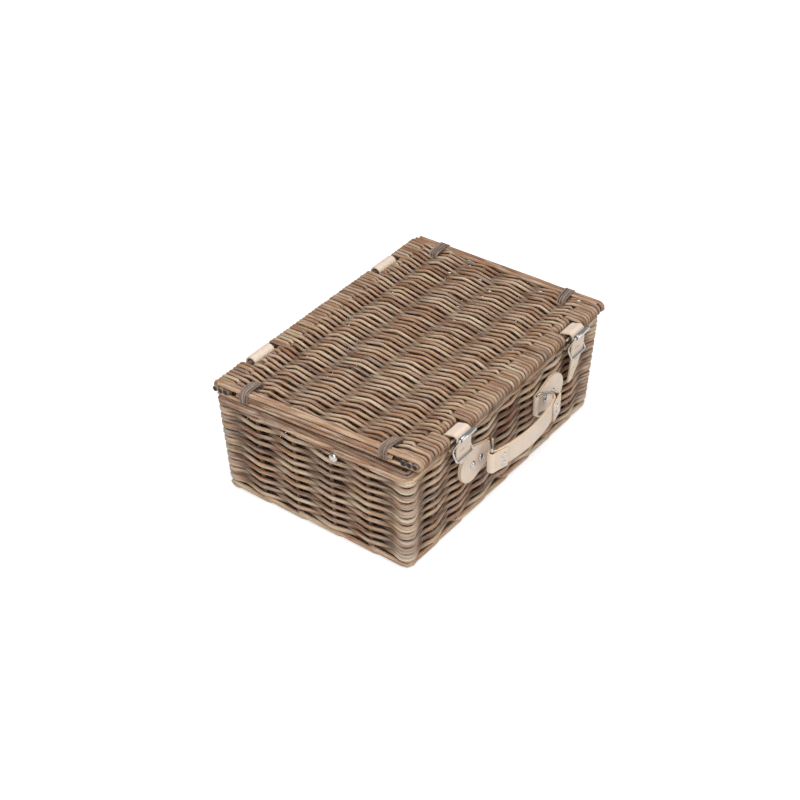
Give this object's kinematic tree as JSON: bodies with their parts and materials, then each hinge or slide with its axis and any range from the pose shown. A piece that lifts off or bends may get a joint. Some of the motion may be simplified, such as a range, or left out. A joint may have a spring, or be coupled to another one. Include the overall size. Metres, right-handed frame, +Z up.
{
  "type": "picnic hamper",
  "caption": "Rectangular willow picnic hamper with a woven lid on leather hinge loops, buckled leather straps and a leather carrying handle on wire rings.",
  "frame": {"origin": "middle of the underside, on the surface the hamper stands on", "axes": "+X along the length to the right when facing the handle side, -Y out of the front with handle and buckles, +Z up"},
  "size_m": [0.367, 0.2779, 0.1405],
  "materials": {
    "willow": "peeled and buff willow with a thin whitish antique wash",
    "leather": "pale beige smooth leather, cut edges",
    "nickel": "bright nickel plate"
  },
  "bodies": {
    "basket": {"base_weave": "willow", "buckle_chape_left": "leather", "buckle_chape_right": "leather", "buckle_frame_left": "nickel", "buckle_frame_right": "nickel", "buckle_prong_left": "nickel", "buckle_prong_right": "nickel", "corner_post_back_left": "willow", "corner_post_back_right": "willow", "corner_post_front_left": "willow", "corner_post_front_right": "willow", "end_stud": "nickel", "foot_border": "willow", "handle_tab_left": "leather", "handle_tab_right": "leather", "hinge_loop_left": "leather", "hinge_loop_right": "leather", "stakes_and_border_back": "willow", "stakes_and_border_front": "willow", "stakes_and_border_left": "willow", "stakes_and_border_right": "willow", "tab_rivet_left_inner": "nickel", "tab_rivet_left_outer": "nickel", "tab_rivet_right_inner": "nickel", "tab_rivet_right_outer": "nickel", "wall_weave_back": "willow", "wall_weave_front": "willow", "wall_weave_left": "willow", "wall_weave_right": "willow"},
    "lid": {"lid_end_rod_left": "willow", "lid_end_rod_right": "willow", "lid_stick_back_outer": "willow", "lid_stick_back_second": "willow", "lid_stick_back_third": "willow", "lid_stick_front_outer": "willow", "lid_stick_front_second": "willow", "lid_stick_front_third": "willow", "lid_stick_inner_1": "willow", "lid_stick_inner_2": "willow", "lid_stick_inner_3": "willow", "lid_stick_inner_4": "willow", "lid_strap_left": "leather", "lid_strap_right": "leather", "lid_tie_back_left": "willow", "lid_tie_back_right": "willow", "lid_tie_front_left": "willow", "lid_tie_front_right": "willow", "lid_weave": "willow"},
    "ring_left": {"handle_ring_left": "nickel"},
    "ring_right": {"handle_ring_right": "nickel"},
    "handle": {"band_rivet_left_lower": "nickel", "band_rivet_left_upper": "nickel", "band_rivet_right_lower": "nickel", "band_rivet_right_upper": "nickel", "handle_band": "leather"},
    "roller_left": {"buckle_roller_left": "nickel"},
    "roller_right": {"buckle_roller_right": "nickel"}
  },
  "joints": [
    {"name": "lid_hinge", "type": "hinge", "parent": "basket", "child": "lid", "pos_m": [0, 0.1195, 0.1291], "axis": [-1, 0, 0], "range_deg": [0, 105]},
    {"name": "ring_left_swing", "type": "hinge", "parent": "basket", "child": "ring_left", "pos_m": [-0.045, -0.12625, 0.078], "axis": [0, 0, 1], "range_deg": [-12, 12]},
    {"name": "ring_right_swing", "type": "hinge", "parent": "basket", "child": "ring_right", "pos_m": [0.045, -0.12625, 0.078], "axis": [0, 0, 1], "range_deg": [-12, 12]},
    {"name": "handle_swing", "type": "hinge", "parent": "ring_left", "child": "handle", "pos_m": [-0.06234, -0.1398, 0.078], "axis": [0, 0, 1], "range_deg": [-8.7, 8.7]},
    {"name": "roller_left_spin", "type": "hinge", "parent": "basket", "child": "roller_left", "pos_m": [-0.10103, -0.13514, 0.1348], "axis": [1, 0, 0], "continuous": true},
    {"name": "roller_right_spin", "type": "hinge", "parent": "basket", "child": "roller_right", "pos_m": [0.1167, -0.13514, 0.1348], "axis": [1, 0, 0], "continuous": true}
  ],
  "couplings": [
    {"joint": "ring_right_swing", "follows": "ring_left_swing", "ratio": 1},
    {"joint": "handle_swing", "follows": "ring_left_swing", "ratio": -0.7224}
  ]
}
